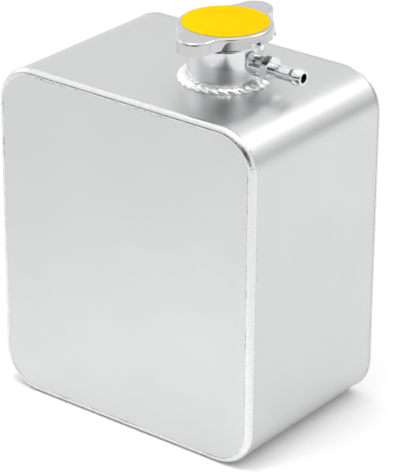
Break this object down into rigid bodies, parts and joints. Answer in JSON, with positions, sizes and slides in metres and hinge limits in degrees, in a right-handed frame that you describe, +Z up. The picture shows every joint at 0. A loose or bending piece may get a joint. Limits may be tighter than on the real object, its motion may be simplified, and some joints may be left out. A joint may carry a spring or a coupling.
{
  "type": "coolant expansion tank",
  "caption": "Welded aluminium coolant header tank with rounded corners, bayonet pressure cap on a filler neck, overflow and bleed hose tails, hose outlet and threaded mounting bosses.",
  "frame": {"origin": "centre of the base face that the tank stands on", "axes": "+Z up along the neck, +X the way the overflow hose tail points, -Y out of the front plate"},
  "size_m": [0.188, 0.164, 0.2466],
  "materials": {
    "sheet": "satin rolled sheet",
    "weld": "bright rippled weld",
    "turned": "fine turned",
    "fitting": "polished",
    "cap_metal": "bright plated pressing",
    "cap_disc": "smooth flat film",
    "steel": "zinc plated",
    "spring_steel": "drawn wire",
    "rubber": "moulded",
    "brass": "turned"
  },
  "bodies": {
    "tank": {"body_wrap": "sheet", "wrap_seam_weld": "weld", "front_end_plate": "sheet", "rear_end_plate": "sheet", "front_weld_bead": "weld", "rear_weld_bead": "weld", "filler_neck": "turned", "neck_weld_bead": "weld", "overflow_fitting": "fitting", "outlet_spigot": "turned", "outlet_weld_bead": "weld", "bleed_boss": "turned", "bleed_weld_bead": "weld", "bleed_fitting": "fitting", "mounting_bosses": "turned", "mounting_boss_welds": "weld"},
    "cap_core": {"cap_stem": "steel", "bell_spring": "steel", "cap_gasket": "rubber", "spring_cup": "steel", "pressure_spring": "spring_steel"},
    "cap_turning": {"cap_shell": "cap_metal", "cap_disc_cover": "cap_disc"},
    "pressure_valve_unit": {"pressure_plate": "steel", "pressure_seal": "rubber", "vacuum_spring": "spring_steel"},
    "vacuum_valve_unit": {"vacuum_valve": "brass", "vacuum_retainer": "brass"}
  },
  "joints": [
    {"name": "cap_lift", "type": "slide", "parent": "tank", "child": "cap_core", "axis": [0, 0, 1], "range_m": [0, 0.045]},
    {"name": "cap_turn", "type": "hinge", "parent": "cap_core", "child": "cap_turning", "pos_m": [0.026, 0, 0.245], "axis": [0, 0, 1], "range_deg": [-90, 0]},
    {"name": "pressure_valve_open", "type": "slide", "parent": "cap_core", "child": "pressure_valve_unit", "axis": [0, 0, 1], "range_m": [0, 0.003], "stiffness_N_per_m": 2000, "springref_m": -0.001, "deforming": ["pressure_spring"]},
    {"name": "vacuum_valve_open", "type": "slide", "parent": "pressure_valve_unit", "child": "vacuum_valve_unit", "axis": [0, 0, -1], "range_m": [0, 0.0012], "stiffness_N_per_m": 60, "springref_m": -0.003, "deforming": ["vacuum_spring"]}
  ]
}
